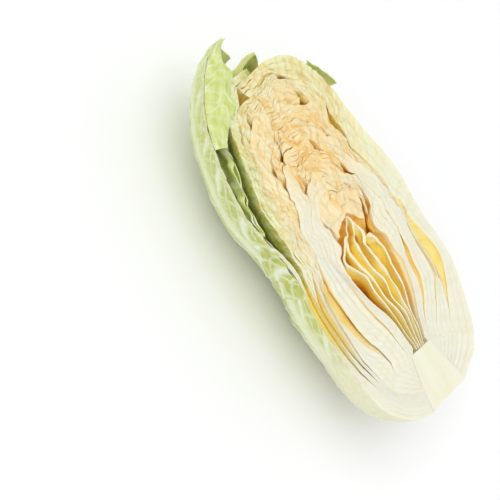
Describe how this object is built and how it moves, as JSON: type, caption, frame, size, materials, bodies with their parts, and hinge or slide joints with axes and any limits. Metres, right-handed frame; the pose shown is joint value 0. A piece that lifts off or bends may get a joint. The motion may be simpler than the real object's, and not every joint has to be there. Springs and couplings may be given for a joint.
{
  "type": "napa cabbage half",
  "caption": "Half of a napa cabbage cut lengthwise, lying on its back with its layered leaves, heart and stem core open upwards.",
  "frame": {"origin": "on the surface that the half lies on, under the middle of its box", "axes": "+X from the cut stem to the crown, +Z along the normal of the cut face, up from the surface, +Y to the side of the free outer leaf"},
  "size_m": [0.3292, 0.1684, 0.0743],
  "materials": {
    "core": "wet white cut stem flesh, semi-gloss",
    "young_leaf": "warm yellow young leaf, semi-gloss",
    "inner_leaf": "cream leaf with white rib, semi-gloss",
    "outer_leaf": "pale green leaf with white rib, semi-gloss"
  },
  "bodies": {
    "root": {"stem_core": "core", "heart_leaf_1": "young_leaf", "heart_leaf_2": "young_leaf", "heart_leaf_3": "young_leaf", "heart_leaf_4": "young_leaf", "heart_leaf_5": "young_leaf", "inner_back_leaf": "inner_leaf", "inner_left_leaf": "inner_leaf", "inner_right_leaf": "inner_leaf", "second_back_leaf": "inner_leaf", "second_left_leaf": "inner_leaf", "second_right_leaf": "inner_leaf", "third_back_leaf": "inner_leaf", "third_left_leaf": "inner_leaf", "third_right_leaf": "inner_leaf", "fourth_back_leaf": "outer_leaf", "fourth_left_leaf": "outer_leaf", "crown_left_leaf": "outer_leaf", "outer_right_leaf": "outer_leaf", "outer_back_right_leaf": "outer_leaf", "outer_left_leaf": "outer_leaf", "resting_leaf": "outer_leaf"}
  },
  "joints": []
}
